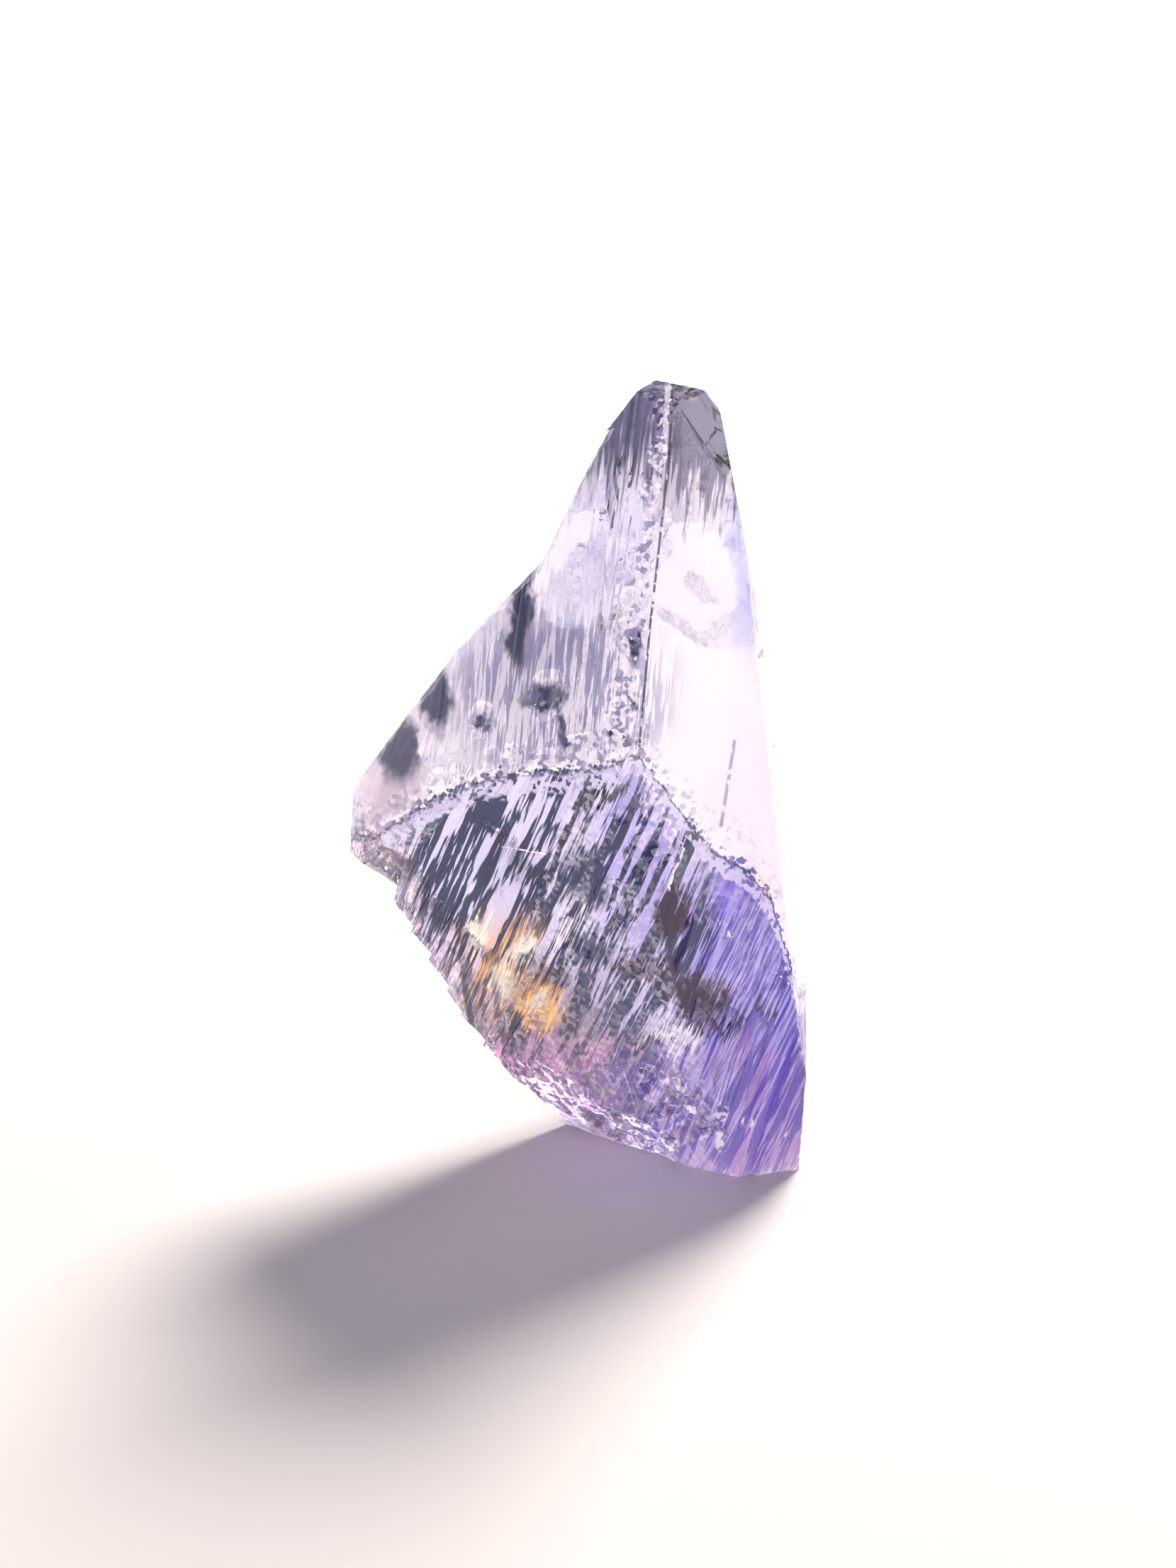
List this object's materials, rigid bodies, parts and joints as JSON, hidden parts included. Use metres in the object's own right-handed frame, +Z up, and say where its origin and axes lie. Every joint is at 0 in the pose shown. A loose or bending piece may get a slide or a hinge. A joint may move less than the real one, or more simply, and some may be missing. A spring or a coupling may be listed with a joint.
{
  "type": "rough tanzanite crystal",
  "caption": "Rough, uncut tanzanite crystal: a tapering clear violet-blue stone with flat faces, growth steps and broken edges, standing on a small flat spot.",
  "frame": {"origin": "middle of the bounding box at ground level, under the stone's flat resting spot", "axes": "+Z up towards the pointed tip, +X to the right in the front view, +Y away from the viewer of the front"},
  "size_m": [0.0116, 0.0108, 0.0199],
  "materials": {
    "tanzanite": "clear to smoky violet-blue natural crystal, glassy faces with fine growth lines, frosted breaks"
  },
  "bodies": {
    "root": {"tanzanite_crystal": "tanzanite"}
  },
  "joints": []
}
